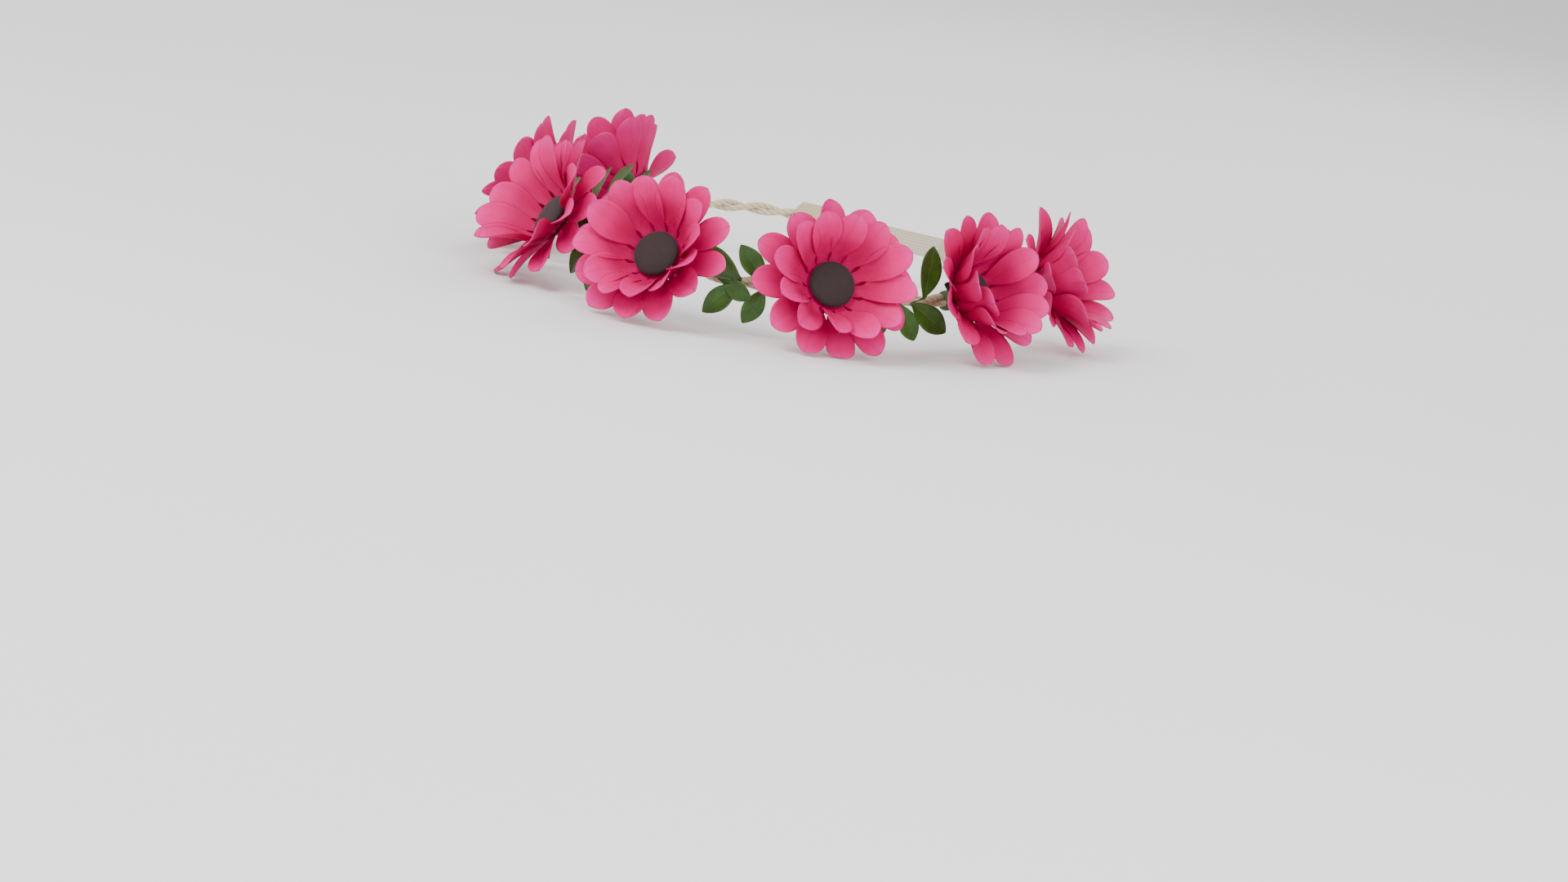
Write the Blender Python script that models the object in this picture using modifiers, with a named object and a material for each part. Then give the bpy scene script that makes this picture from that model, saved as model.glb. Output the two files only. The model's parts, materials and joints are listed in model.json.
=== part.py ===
"""Flower crown: fabric daisies and leaf sprigs on a twisted cord closed by an elastic band.

Metres, +Z up. The crown lies level on its lowest petals, with its front towards -Y.
"""
import math

import bmesh
import bpy
import numpy as np
from mathutils import Matrix, Vector

MM = 0.001
UP = Vector((0, 0, 1))
GAP = 0.3 * MM                # between pieces that touch
MERGE = 0.01 * MM

# ring: an ellipse at the front and sides, bent onto a straight chord at the back
RING_A = 78.0 * MM            # half width, X
RING_B = 97.0 * MM            # half depth, Y
RING_LEAVE = 130.0            # degrees from the front where the cord leaves the ellipse
BACK_BEND = 25.0 * MM         # radius of the bend onto the chord
BACK_STRAIGHT = 8.0 * MM      # straight cord end inside the end wrap
RING_LIFT = 17.519 * MM      # ring plane above the lowest petals
RING_SHIFT = 24.972 * MM   # puts the middle of the crown on the origin

# cord: two strands laid round each other
STRAND_R = 1.0 * MM
STRAND_OFF = 1.16 * MM
TWIST_PITCH = 26.0 * MM
POINTS_PER_PITCH = 9

# flowers, counted from the front one, left negative
FLOWERS = (-3, -2, -1, 0, 1, 2, 3)
FLOWER_PITCH = 53.0 * MM
FLOWER_TILT = 26.0            # degrees a flower looks up out of the ring plane
FLOWER_TURN = 7.0             # degrees each flower is turned more than the one before

# petal layers: stamped sheets on a common peg; heights are above the cord's middle line
PETALS = 12
FABRIC = 0.35 * MM
HOLE_R = 1.7 * MM
OUTER_HUB, OUTER_TIP, OUTER_Z = 6.6 * MM, 26.2 * MM, 6.9 * MM
INNER_HUB, INNER_TIP, INNER_Z = 8.2 * MM, 22.4 * MM, 8.3 * MM
# along a petal: fraction of its length, width over pitch, rise of the middle, lift of the edges
OUTER_ROWS = ((0.56, 0.93, 4.4 * MM, 1.1 * MM), (0.88, 0.62, 6.6 * MM, 0.8 * MM), (1, 0, 7.1 * MM, 0))
INNER_ROWS = ((0.52, 0.95, 8.6 * MM, 1.2 * MM), (0.86, 0.66, 12.9 * MM, 0.9 * MM), (1, 0, 14.3 * MM, 0))

# calyx: a cup with five pointed sepals behind the petals
SEPALS = 5
CUP_R, CUP_Z0, CUP_Z1 = 4.6 * MM, 4.0 * MM, 6.4 * MM
SEPAL_Z, SEPAL_T, SEPAL_ROOT, SEPAL_HUB, SEPAL_TIP = 5.9 * MM, 0.4 * MM, 3.0 * MM, 5.2 * MM, 10.8 * MM
SEPAL_ROWS = ((0.5, 0.62, 0.1 * MM, 0), (1, 0, 0.3 * MM, 0))

# button, peg and collar
BORE_R, BORE_TOP = 1.55 * MM, 10.3 * MM
BUTTON_R, BUTTON_Z, BUTTON_H = 7.6 * MM, 9.0 * MM, 2.8 * MM
PEG_R, PEG_FOOT, PEG_TOP = 1.05 * MM, 3.05 * MM, 9.9 * MM
COLLAR_IN, COLLAR_OUT, COLLAR_LEN = 2.8 * MM, 3.6 * MM, 8.0 * MM

# leaf sprigs: one stamped strip with a leaf at each end and its waist over the cord
LEAF_LEN, LEAF_W, LEAF_T, WAIST_W = 16.0 * MM, 6.4 * MM, 0.35 * MM, 1.8 * MM
LEAF_ROWS = ((1.0, 0.0), (0.82, 0.70), (0.55, 1.0), (0.22, 0.46))   # fraction out, width fraction
LEAF_OFF = 2.75 * MM          # waist in front of the cord's middle line
LEAF_ROOT = 1.5 * MM
LEAF_RECLINE = 24.0           # degrees the upper leaves lie back, behind the petals
LEAF_CURL, LEAF_FOLD = 1.4 * MM, 0.75 * MM
SPRIG_STEP = 7.6 * MM
# a sprig's place in its gap, leans of its upper and lower leaf in degrees, their sizes
SPRIGS = (("a", -1, -38, -30, 1.0, 0.8), ("b", 0, 8, -4, 0.85, 1.0), ("c", 1, 34, 42, 0.95, 0.9))
GAPS = (-2.5, -1.5, -0.5, 0.5, 1.5, 2.5)      # in flower pitches from the front flower

# closure at the back
BAND_W, BAND_T, BAND_LEN = 8.0 * MM, 1.0 * MM, 59.2 * MM
BAND_END_W, BAND_END_T = 7.6 * MM, 0.8 * MM      # pressed thinner where the wraps grip it
BAND_CLEAR = 0.5 * MM                            # from the full thickness to a wrap's end
WRAP_W, WRAP_T, WRAP_LEN, WRAP_ROUND = 11.2 * MM, 7.4 * MM, 17.4 * MM, 1.0 * MM
WRAP_BORE, WRAP_WALL = 2.65 * MM, 0.5 * MM
TURNED_SIDES, WRAP_SIDES, PIN_SIDES = 14, 12, 8
ELLIPSE_STEPS, BEND_STEPS = 520, 60

COLOURS = {                   # base colour, roughness
    "petal_satin": ((0.84, 0.05, 0.20), 0.55),
    "button_felt": ((0.060, 0.034, 0.035), 0.85),
    "calyx_plastic": ((0.030, 0.080, 0.015), 0.55),
    "stem_plastic": ((0.060, 0.120, 0.030), 0.60),
    "leaf_fabric": ((0.045, 0.120, 0.018), 0.50),
    "cord_cotton": ((0.740, 0.670, 0.500), 0.85),
    "wrap_thread": ((0.700, 0.630, 0.470), 0.80),
    "elastic_knit": ((0.780, 0.740, 0.640), 0.80),
}


def clear_scene():
    for ob in list(bpy.data.objects):
        bpy.data.objects.remove(ob, do_unlink=True)


def make_materials():
    for name, (colour, rough) in COLOURS.items():
        mat = bpy.data.materials.new(name)
        mat.use_nodes = True
        bsdf = mat.node_tree.nodes["Principled BSDF"]
        bsdf.inputs["Base Color"].default_value = (*colour, 1.0)
        bsdf.inputs["Roughness"].default_value = rough
        bsdf.inputs["Metallic"].default_value = 0.0
        mat.diffuse_color = (*colour, 1.0)
        yield name, mat


def place(name, data, matrix=None, parent=None):
    """One named object of the crown."""
    ob = bpy.data.objects.new(name, data)
    parts.objects.link(ob)
    ob.parent = parent
    ob.matrix_local = matrix or Matrix()
    return ob


def scratch(bm):
    """A temporary object from a bmesh, on which modifiers are tried before finished() takes it."""
    mesh = bpy.data.meshes.new("scratch")
    bm.to_mesh(mesh)
    bm.free()
    ob = bpy.data.objects.new("scratch", mesh)
    bpy.context.scene.collection.objects.link(ob)
    return ob


def modify(ob, kind, **values):
    mod = ob.modifiers.new(kind.title(), kind)
    for key, value in values.items():
        setattr(mod, key, value)


def finished(ob, slot, *helpers):
    """The mesh of an object with its modifiers applied; the object and its helpers are removed."""
    bpy.context.view_layer.update()
    mesh = bpy.data.meshes.new_from_object(ob.evaluated_get(bpy.context.evaluated_depsgraph_get()))
    mesh.name = slot
    mesh.materials.clear()
    mesh.materials.append(materials[slot])
    mesh.shade_smooth()
    mesh.set_sharp_from_angle(angle=math.radians(40))
    for used in (ob, *helpers):
        bpy.data.objects.remove(used, do_unlink=True)
    return mesh


def turned(outline, segments):
    """A scratch body turned about Z. The outline of (radius, height) runs down its outer side."""
    bm = bmesh.new()
    points = [bm.verts.new((r, 0, z)) for r, z in outline]
    for a, b in zip(points, points[1:]):
        bm.edges.new((a, b))
    if outline[0][0] > 0:
        bm.edges.new((points[-1], points[0]))
    ob = scratch(bm)
    modify(ob, "SCREW", steps=segments, render_steps=segments, use_merge_vertices=True,
           merge_threshold=MERGE)
    return ob


def cylinder(radius, z0, z1, segments):
    bm = bmesh.new()
    bmesh.ops.create_cone(bm, cap_ends=True, segments=segments, radius1=radius, radius2=radius,
                          depth=z1 - z0, matrix=Matrix.Translation((0, 0, (z0 + z1) / 2)))
    return scratch(bm)


def block(size, centre):
    bm = bmesh.new()
    bmesh.ops.create_cube(bm, matrix=Matrix.Translation(centre) @ Matrix.Diagonal((*size, 1)))
    return scratch(bm)


def grid(rows):
    """A sheet of two columns of faces, with its rows of three points set by (left, middle, right)."""
    bm = bmesh.new()
    bmesh.ops.create_grid(bm, x_segments=2, y_segments=len(rows) - 1, size=1)
    bm.verts.ensure_lookup_table()
    order = sorted(bm.verts, key=lambda v: (round(v.co.y, 4), round(v.co.x, 4)))
    for vert, point in zip(order, [p for row in rows for p in row]):
        vert.co = point
    return bm


def star_sheet(count, hole, hub, tip, rows, thickness):
    """A holed hub with `count` petals round it, cut from one sheet: a sector, spun and welded."""
    half = math.pi / count

    def ring(radius):
        return [Vector((radius * math.cos(a), radius * math.sin(a), 0)) for a in (-half, 0, half)]

    points = [ring(hole), ring(hub)]
    for along, wide, rise, lift in rows:
        r = hub + along * (tip - hub)
        w = wide * r * math.sin(half)
        points.append([Vector((r, q * w, rise + abs(q) * lift)) for q in (-1, 0, 1)])
    bm = grid(points)
    bmesh.ops.spin(bm, geom=bm.verts[:] + bm.edges[:] + bm.faces[:], axis=UP, cent=(0, 0, 0),
                   angle=2 * math.pi * (count - 1) / count, steps=count - 1, use_duplicate=True)
    bmesh.ops.remove_doubles(bm, verts=bm.verts, dist=MERGE)
    bmesh.ops.recalc_face_normals(bm, faces=bm.faces)
    ob = scratch(bm)
    modify(ob, "SOLIDIFY", thickness=thickness, offset=0)
    return ob


def half_path():
    """The cord's middle line from the front to its end in the wrap, and the length to each point."""
    points = [Vector((RING_A * math.sin(t), -RING_B * math.cos(t)))
              for t in np.radians(np.linspace(0, RING_LEAVE, ELLIPSE_STEPS + 1))]
    heading = math.atan2(*(points[-1] - points[-2]).yx)
    turn = (math.pi - heading) / BEND_STEPS
    for _ in range(BEND_STEPS):
        heading += turn
        ahead = Vector((math.cos(heading), math.sin(heading)))
        points.append(points[-1] + BACK_BEND * turn * ahead)
    points.append(points[-1] - Vector((BACK_STRAIGHT, 0)))
    runs = [(b - a).length for a, b in zip(points, points[1:])]
    return np.array(points), np.concatenate([[0], np.cumsum(runs)])


def on_path(s):
    """The point at length s from the front, positive to the right."""
    x = np.interp(abs(s), path_length, path[:, 0])
    y = np.interp(abs(s), path_length, path[:, 1])
    return Vector((math.copysign(x, s), y + RING_SHIFT, RING_LIFT))


def ring_frame(s, tilt=0.0):
    """A frame on the cord: X along it, Z outwards and raised by `tilt` degrees."""
    step = 0.4 * MM
    along = (on_path(min(s + step, end_s)) - on_path(max(s - step, -end_s))).normalized()
    out = Matrix.Rotation(math.radians(-tilt), 3, along) @ along.cross(UP)
    axes = Matrix((along, out.cross(along), out)).transposed()
    return Matrix.Translation(on_path(s)) @ axes.to_4x4()


def cord_strand(name, phase):
    curve = bpy.data.curves.new(name, "CURVE")
    curve.dimensions = "3D"
    curve.bevel_depth = STRAND_R
    curve.bevel_resolution = 1
    curve.use_fill_caps = True
    curve.materials.append(materials["cord_cotton"])
    count = round(2 * end_s / TWIST_PITCH * POINTS_PER_PITCH) + 1
    spline = curve.splines.new("POLY")
    spline.points.add(count - 1)
    for point, s in zip(spline.points, np.linspace(-end_s, end_s, count)):
        a = 2 * math.pi * s / TWIST_PITCH + phase
        lay = Vector((0, math.sin(a), math.cos(a))) * STRAND_OFF
        point.co = (*(ring_frame(s) @ lay), 1)
    place(name, curve)


def button_mesh():
    r, z, h = BUTTON_R, BUTTON_Z, BUTTON_H
    outline = ((0, z + h), (0.45 * r, z + h), (0.86 * r, z + 0.82 * h), (r, z + 0.45 * h),
               (0.92 * r, z), (BORE_R, z), (BORE_R, BORE_TOP), (0, BORE_TOP))
    return finished(turned(outline, TURNED_SIDES), "button_felt")


def calyx_mesh():
    cup = turned(((CUP_R, CUP_Z1), (CUP_R, CUP_Z0 + 1.0 * MM), (CUP_R - 0.4 * MM, CUP_Z0),
                  (BORE_R, CUP_Z0), (BORE_R, CUP_Z1)), 12)
    sepals = star_sheet(SEPALS, SEPAL_ROOT, SEPAL_HUB, SEPAL_TIP, SEPAL_ROWS, SEPAL_T)
    sepals.location.z = SEPAL_Z
    modify(cup, "BOOLEAN", operation="UNION", solver="EXACT", object=sepals)
    return finished(cup, "calyx_plastic", sepals)


def stem_mesh():
    """A collar round the cord, with the peg that carries the flower standing on its wall."""
    half = COLLAR_LEN / 2
    collar = turned(((COLLAR_OUT, half), (COLLAR_OUT, -half), (COLLAR_IN, -half),
                     (COLLAR_IN, half)), 12)
    collar.matrix_world = (Matrix.Rotation(math.radians(90), 4, "Y")
                           @ Matrix.Rotation(math.radians(15), 4, "Z"))
    peg = cylinder(PEG_R, PEG_FOOT, PEG_TOP, PIN_SIDES)
    peg.matrix_world = collar.matrix_world.inverted() @ peg.matrix_world
    turn = collar.matrix_world.copy()
    collar.matrix_world = Matrix()
    modify(collar, "BOOLEAN", operation="UNION", solver="EXACT", object=peg)
    mesh = finished(collar, "stem_plastic", peg)
    mesh.transform(turn)
    return mesh


def sprig_mesh(lean_up, lean_low, size_up, size_low):
    """A leaf above and a leaf below the waist, each leaning along the cord and folded mid-way."""
    rows = []
    for sign, lean, size in ((1, lean_up, size_up), (-1, lean_low, size_low)):
        back = math.radians(LEAF_RECLINE) if sign > 0 else 0
        lean = math.radians(lean)
        lie = Vector((0, sign * math.cos(back), -math.sin(back)))
        out = Vector((math.sin(lean), 0, 0)) + lie * math.cos(lean)
        across = Vector((math.cos(lean), 0, 0)) - lie * math.sin(lean)
        leaf = []
        for u, w in LEAF_ROWS:
            middle = out * (LEAF_ROOT + u * size * LEAF_LEN)
            middle.z += LEAF_OFF + LEAF_CURL * u * u
            edge = across * (w * size * LEAF_W / 2)
            fold = Vector((0, 0, LEAF_FOLD * w))
            leaf.append((middle - edge + fold, middle, middle + edge + fold))
        rows += leaf if sign > 0 else [WAIST] + leaf[::-1]
    bm = grid(rows)
    bmesh.ops.remove_doubles(bm, verts=bm.verts, dist=MERGE)
    ob = scratch(bm)
    modify(ob, "SOLIDIFY", thickness=LEAF_T, offset=0)
    return finished(ob, "leaf_fabric")


def wrap_mesh(start):
    """A binding round the band's end and the cord's end, which go in from its two faces."""
    wrap = cylinder(0.5, 0, WRAP_LEN, WRAP_SIDES)
    wrap.data.transform(Matrix.Diagonal((WRAP_W, WRAP_T, 1, 1)))
    wrap.data.transform(Matrix.Rotation(math.radians(90), 4, "Y"))
    modify(wrap, "BEVEL", width=WRAP_ROUND, segments=1, limit_method="ANGLE",
           angle_limit=math.radians(60))
    slot_end = BAND_LEN / 2 + GAP - start
    slot = block((2 * slot_end, BAND_END_T + 2 * GAP, BAND_END_W + 2 * GAP), (0, 0, 0))
    bore_start = slot_end + WRAP_WALL
    bore = cylinder(WRAP_BORE, bore_start, 2 * WRAP_LEN, PIN_SIDES)
    bore.data.transform(Matrix.Rotation(math.radians(90), 4, "Y"))
    for cutter in (slot, bore):
        modify(wrap, "BOOLEAN", operation="DIFFERENCE", solver="EXACT", object=cutter)
    return finished(wrap, "wrap_thread", slot, bore)


def build_flower(number, meshes):
    tag = "front" if number == 0 else f"{'left' if number < 0 else 'right'}_{abs(number)}"
    axis = place(f"flower_axis_{tag}", None, ring_frame(number * FLOWER_PITCH, FLOWER_TILT))
    place(f"stem_{tag}", meshes["stem"], None, axis)
    turn = Matrix.Rotation(math.radians(number * FLOWER_TURN), 4, "Z")
    half_petal = Matrix.Rotation(math.pi / PETALS, 4, "Z")
    place(f"calyx_{tag}", meshes["calyx"], turn, axis)
    place(f"petals_outer_{tag}", meshes["outer"], Matrix.Translation((0, 0, OUTER_Z)) @ turn, axis)
    place(f"petals_inner_{tag}", meshes["inner"],
          Matrix.Translation((0, 0, INNER_Z)) @ turn @ half_petal, axis)
    place(f"centre_button_{tag}", meshes["button"], turn, axis)


def build_sprigs():
    for side in (-1, 1):
        for letter, where, lean_up, lean_low, size_up, size_low in SPRIGS:
            mesh = sprig_mesh(side * lean_up, side * lean_low, size_up, size_low)
            for gap, middle in enumerate(GAPS):
                if middle * side > 0:
                    s = middle * FLOWER_PITCH + side * where * SPRIG_STEP
                    place(f"leaf_sprig_{gap + 1}{letter}", mesh, ring_frame(s))


def band_mesh(open_length):
    """The elastic, full between the wraps and thinner where they grip its ends."""
    band = block((open_length, BAND_T, BAND_W), (0, 0, 0))
    ends = block((BAND_LEN, BAND_END_T, BAND_END_W), (0, 0, 0))
    modify(band, "BOOLEAN", operation="UNION", solver="EXACT", object=ends)
    return finished(band, "elastic_knit", ends)


def build_back():
    centre = Matrix.Translation((0, on_path(end_s).y, RING_LIFT))
    bore_start = on_path(end_s).x - GAP
    start = bore_start - WRAP_WALL - WRAP_LEN / 2
    open_length = 2 * (start - WRAP_LEN / 2 - BAND_CLEAR)
    place("elastic_band", band_mesh(open_length), centre)
    mesh = wrap_mesh(start)
    place("end_wrap_right", mesh, centre @ Matrix.Translation((start, 0, 0)))
    place("end_wrap_left", mesh, centre @ Matrix.Rotation(math.pi, 4, "Z")
          @ Matrix.Translation((start, 0, 0)))


clear_scene()
parts = bpy.data.collections.new("flower_crown")
bpy.context.scene.collection.children.link(parts)
materials = dict(make_materials())
path, path_length = half_path()
end_s = float(path_length[-1])
WAIST = tuple(Vector((q * WAIST_W / 2, 0, LEAF_OFF)) for q in (-1, 0, 1))

flower_meshes = {
    "outer": finished(star_sheet(PETALS, HOLE_R, OUTER_HUB, OUTER_TIP, OUTER_ROWS, FABRIC),
                      "petal_satin"),
    "inner": finished(star_sheet(PETALS, HOLE_R, INNER_HUB, INNER_TIP, INNER_ROWS, FABRIC),
                      "petal_satin"),
    "button": button_mesh(),
    "calyx": calyx_mesh(),
    "stem": stem_mesh(),
}
for flower in FLOWERS:
    build_flower(flower, flower_meshes)
cord_strand("cord_strand_a", 0.0)
cord_strand("cord_strand_b", math.pi)
build_sprigs()
build_back()
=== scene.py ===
"""Looks of the flower crown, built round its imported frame. Metres, +Z up, front towards -Y."""
import json
import math

import bmesh
import bpy
import numpy as np
from mathutils import Matrix, Vector

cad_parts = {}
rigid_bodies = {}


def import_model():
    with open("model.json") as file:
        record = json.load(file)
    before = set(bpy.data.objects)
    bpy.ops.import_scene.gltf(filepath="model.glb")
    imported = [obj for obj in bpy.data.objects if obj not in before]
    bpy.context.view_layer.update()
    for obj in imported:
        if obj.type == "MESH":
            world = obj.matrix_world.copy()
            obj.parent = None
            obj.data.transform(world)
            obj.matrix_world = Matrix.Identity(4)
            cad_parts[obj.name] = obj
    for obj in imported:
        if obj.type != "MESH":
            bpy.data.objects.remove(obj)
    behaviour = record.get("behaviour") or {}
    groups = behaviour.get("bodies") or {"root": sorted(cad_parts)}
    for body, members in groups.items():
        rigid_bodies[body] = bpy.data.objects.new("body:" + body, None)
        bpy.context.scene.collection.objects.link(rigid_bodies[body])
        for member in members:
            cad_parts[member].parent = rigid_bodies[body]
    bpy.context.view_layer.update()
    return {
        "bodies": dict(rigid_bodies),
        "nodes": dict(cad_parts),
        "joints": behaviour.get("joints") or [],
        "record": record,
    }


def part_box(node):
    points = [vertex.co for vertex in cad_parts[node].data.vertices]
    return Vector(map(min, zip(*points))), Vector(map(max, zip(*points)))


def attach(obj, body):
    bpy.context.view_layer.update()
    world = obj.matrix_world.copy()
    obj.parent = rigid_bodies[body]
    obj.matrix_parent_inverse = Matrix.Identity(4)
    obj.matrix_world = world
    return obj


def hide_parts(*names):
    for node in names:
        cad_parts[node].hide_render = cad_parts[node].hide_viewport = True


MM = 0.001
UP = Vector((0, 0, 1))
WELD = 0.002 * MM                  # points nearer than this are one point

# ring: an ellipse at the front and sides, bent onto a straight chord at the back
RING_A, RING_B, RING_LEAVE = 78.0 * MM, 97.0 * MM, 130.0
BACK_BEND, BACK_STRAIGHT = 25.0 * MM, 8.0 * MM
ELLIPSE_STEPS, BEND_STEPS = 520, 60

# cord: two strands of three plies
STRAND_R, STRAND_OFF, TWIST_PITCH = 1.08 * MM, 1.14 * MM, 26.0 * MM
STRAND_STEP, STRAND_SIDES = 0.45 * MM, 18
PLIES, PLY_PITCH, PLY_DEPTH = 3, 8.0 * MM, 0.05 * MM
CORD_SEED = 7
STRAND_SETTLE = 20.0 * MM          # what is uneven fades out over this length at each end
WANDER, WANDER_WAVES = 0.05, (9 * MM, 17 * MM, 31 * MM)      # of the strands' distance apart
SWELL, SWELL_WAVE = 0.035, 5.3 * MM                          # of a strand's thickness
LAY_DRIFT, LAY_WAVE = 0.25, 23 * MM                          # of the twist, in radians

# flowers; heights are above the cord's middle line, along a flower's stem
FLOWER_PITCH, FLOWERS_A_SIDE = 53.0 * MM, 3
FLOWER_TURN, FLOWER_SEED = 7.0, 40            # the turn is from one flower to the next, in degrees

PETALS = 12
PETAL_ROWS, PETAL_COLS, HUB_ROWS, ROW_CROWDING = 26, 12, 4, 1.4
HOLE_R, FABRIC = 1.7 * MM, 0.24 * MM
OUTER = dict(hub=6.6 * MM, z=6.9 * MM, length=22.3 * MM, width=5.5 * MM,
             angles=(6, 30, 15), cup=0.30, phase=0.0)
INNER = dict(hub=8.2 * MM, z=8.3 * MM, length=22.2 * MM, width=5.45 * MM,
             angles=(20, 64, 43), cup=0.36, phase=0.5)
# how many degrees a head's right and left petals are bent outwards; the outer ones less
SPLAY = {"left_1": (34.0, 2.0), "front": (2.0, 4.0), "right_1": (8.0, 5.0), "right_2": (-3.0, -12.0)}
OUTER_SPLAY = 0.7
# along a petal, as fractions of its length: where it is free of the hub, where it has bent to its
# middle angle, where it starts to bend to its end angle, and where it has twisted
FREE_AT, MIDDLE_ANGLE_AT, END_ANGLE_FROM, TWIST_AT = 0.14, 0.22, 0.3, 0.8
# likewise where it is widest, where its waist is and how long, and where its rounded tip starts
WIDEST_AT, WAIST_AT, WAIST_SPAN, TIP_FROM = 0.66, 0.13, 0.07, 0.64
# the waist's depth, the powers that round the tip, and the share of width left at its end
PETAL_WAIST, TIP_ROUND, TIP_FULL, TIP_END = 0.16, 2.7, 0.56, 0.012
CUP_AT_ROOT, CUP_FADE, CREASE_FADE = 1.25, 0.75, 0.6
CREASE, CREASE_SPAN, RIPPLE, RIPPLES, TIP_CURL = 0.16 * MM, 0.11, 0.10 * MM, 2.5, 0.22 * MM
# how far one petal differs from the next: lean, curl and twist in degrees, a sideways bend, and
# shares of its length, width and cup
ODD_LIMIT = 1.8                    # in standard deviations
ODD_LEAN, ODD_CURL, ODD_TWIST, ODD_BEND = 5.5, 5.0, 11.0, 0.7 * MM
ODD_LENGTH, ODD_WIDTH, ODD_CUP = 0.03, 0.04, (0.7, 1.7)

BUTTON_R, BUTTON_Z, BUTTON_H = 7.7 * MM, 9.0 * MM, 2.9 * MM
BUTTON_RIM, BUTTON_SHOULDER, BUTTON_TUCK = 0.86, 0.34, 0.07  # rim's place, its height, its turn in
BUTTON_DOME, BUTTON_MARGIN, BUTTON_TURN = 0.30 * MM, 0.02 * MM, 0.6
BUTTON_RINGS, BUTTON_SIDES = 56, 144
RIB_PITCH, RIB_DEPTH, RIBBED_TO, RIBBED_FADE = 0.62 * MM, 0.035 * MM, 0.80, 0.1

SEPALS, SEPAL_LEN, SEPAL_W = 5, 7.6 * MM, 2.7 * MM
SEPAL_ROOT, SEPAL_T, SEPAL_RIDGE = 3.2 * MM, 0.3 * MM, 0.14 * MM
SEPAL_RISE, SEPAL_CUP, SEPAL_NECK, SEPAL_EDGE = 0.35 * MM, 0.25 * MM, 0.62, 0.02 * MM
SEPAL_ROWS, SEPAL_COLS, CUP_SIDES = 18, 9, 60
CUP_R, CUP_IN, CUP_Z0, CUP_Z1, SEPAL_Z = 4.6 * MM, 1.6 * MM, 4.0 * MM, 6.4 * MM, 6.0 * MM
COLLAR_R, COLLAR_LEN, TAPE_PITCH = 3.35 * MM, 8.6 * MM, 2.1 * MM
TAPE_T, COLLAR_TAPER, TAPER_FROM = 0.16 * MM, 0.55 * MM, 0.34
COLLAR_ROWS, COLLAR_SIDES = 90, 40
NECK_R, NECK_FLARE, NECK_FOOT, NECK_RISE = 1.3 * MM, 1.1 * MM, 2.9 * MM, 1.6 * MM
NECK_ROWS, NECK_SIDES = 9, 28

# leaves
LEAF_LEN, LEAF_W, WAIST_W, LEAF_T = 16.8 * MM, 8.1 * MM, 1.2 * MM, 0.3 * MM
LEAF_OFF, LEAF_ROOT, LEAF_RECLINE = 2.75 * MM, 1.2 * MM, 24.0
LEAF_FOLD, LEAF_CURL, LEAF_ARCH = 0.26, 1.8 * MM, 0.5 * MM
LEAF_SWAY, LEAF_RIPPLE, LEAF_ODD_LIMIT = 0.8 * MM, 0.14 * MM, 1.5
LEAF_EDGE, LEAF_BELLY, LEAF_FULL, SIZE_TO_WIDTH = 0.03 * MM, 1.08, 0.78, 0.7
LEAF_ROWS, LEAF_COLS, LEAF_CROWDING, WAIST_ROWS = 20, 11, 1.3, 7
SPRIG_STEP, LEAF_SEED = 7.6 * MM, 21
GAPS = (-2.5, -1.5, -0.5, 0.5, 1.5, 2.5)      # in flower pitches from the front flower
# per gap, its three sprigs in order along the cord: leans of the upper and lower leaf in degrees,
# their sizes, and how many millimetres their roots stand apart along the cord
SPRIGS = {
    1: ((-34, -46, 0.95, 0.90, 1), (12, -8, 0.85, 1.00, 0), (36, 26, 1.00, 0.80, -1)),
    2: ((-44, -30, 1.00, 0.85, 0), (-10, 6, 0.90, 1.00, 2), (30, 48, 0.80, 0.95, 0)),
    3: ((-40, -34, 0.90, 0.80, 0), (46, -2, 0.88, 0.95, 1), (56, 46, 0.80, 0.85, 0)),
    4: ((-58, 66, 0.80, 0.70, 0), (-66, -44, 1.25, 0.90, 1), (-40, -22, 0.88, 0.80, 0)),
    5: ((-30, 10, 0.60, 0.70, 0), (-50, 32, 0.70, 0.90, 0), (18, 58, 1.10, 1.08, 6)),
    6: ((-36, -40, 0.95, 0.85, 1), (6, -6, 0.90, 1.00, -2), (34, 44, 0.95, 0.90, 0)),
}
REST_Z = 3.0 * MM                  # below this height a tip is bent by the floor

# closure at the back
BAND_T, BAND_STEP, BAND_SIDES = 1.0 * MM, 0.22 * MM, 96
FLATNESS, EDGE_ROUND = 0.35, 0.9   # powers that flatten the band's faces and round its edges
RIB, RIB_SHARE = 0.95 * MM, 0.20
WEFT, WEFT_LOW, WEFT_SHARE = 0.88 * MM, 0.93, 0.10
WRAP_TURNS, WRAP_GROOVE, WRAP_ROWS = 22, 0.075, 300
WRAP_TAPER, WRAP_TAPER_FROM = 0.30, 0.40

# colours
PETAL_FACE = ((0.56, 0.000, 0.100), (0.76, 0.002, 0.180), (0.88, 0.030, 0.300))
PETAL_REVERSE = ((0.48, 0.000, 0.085), (0.62, 0.004, 0.150), (0.72, 0.030, 0.230))
PETAL_RIM, PETAL_SHEEN = (0.17, 0.000, 0.035), (1.0, 0.2, 0.5, 1.0)
LEAF_FACE = ((0.016, 0.064, 0.002), (0.036, 0.116, 0.005), (0.062, 0.140, 0.020))
LEAF_REVERSE = ((0.040, 0.070, 0.010), (0.062, 0.098, 0.018), (0.100, 0.135, 0.035))
BUTTON_BROWNS = ((0.018, 0.013, 0.013), (0.046, 0.033, 0.034), (0.016, 0.011, 0.011))
CALYX_GREENS = ((0.016, 0.050, 0.008), (0.040, 0.100, 0.016))
TAPE_GREENS = ((0.045, 0.085, 0.022), (0.080, 0.140, 0.040))
CORD_CREAMS = ((0.760, 0.650, 0.430), (0.480, 0.380, 0.210))
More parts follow.
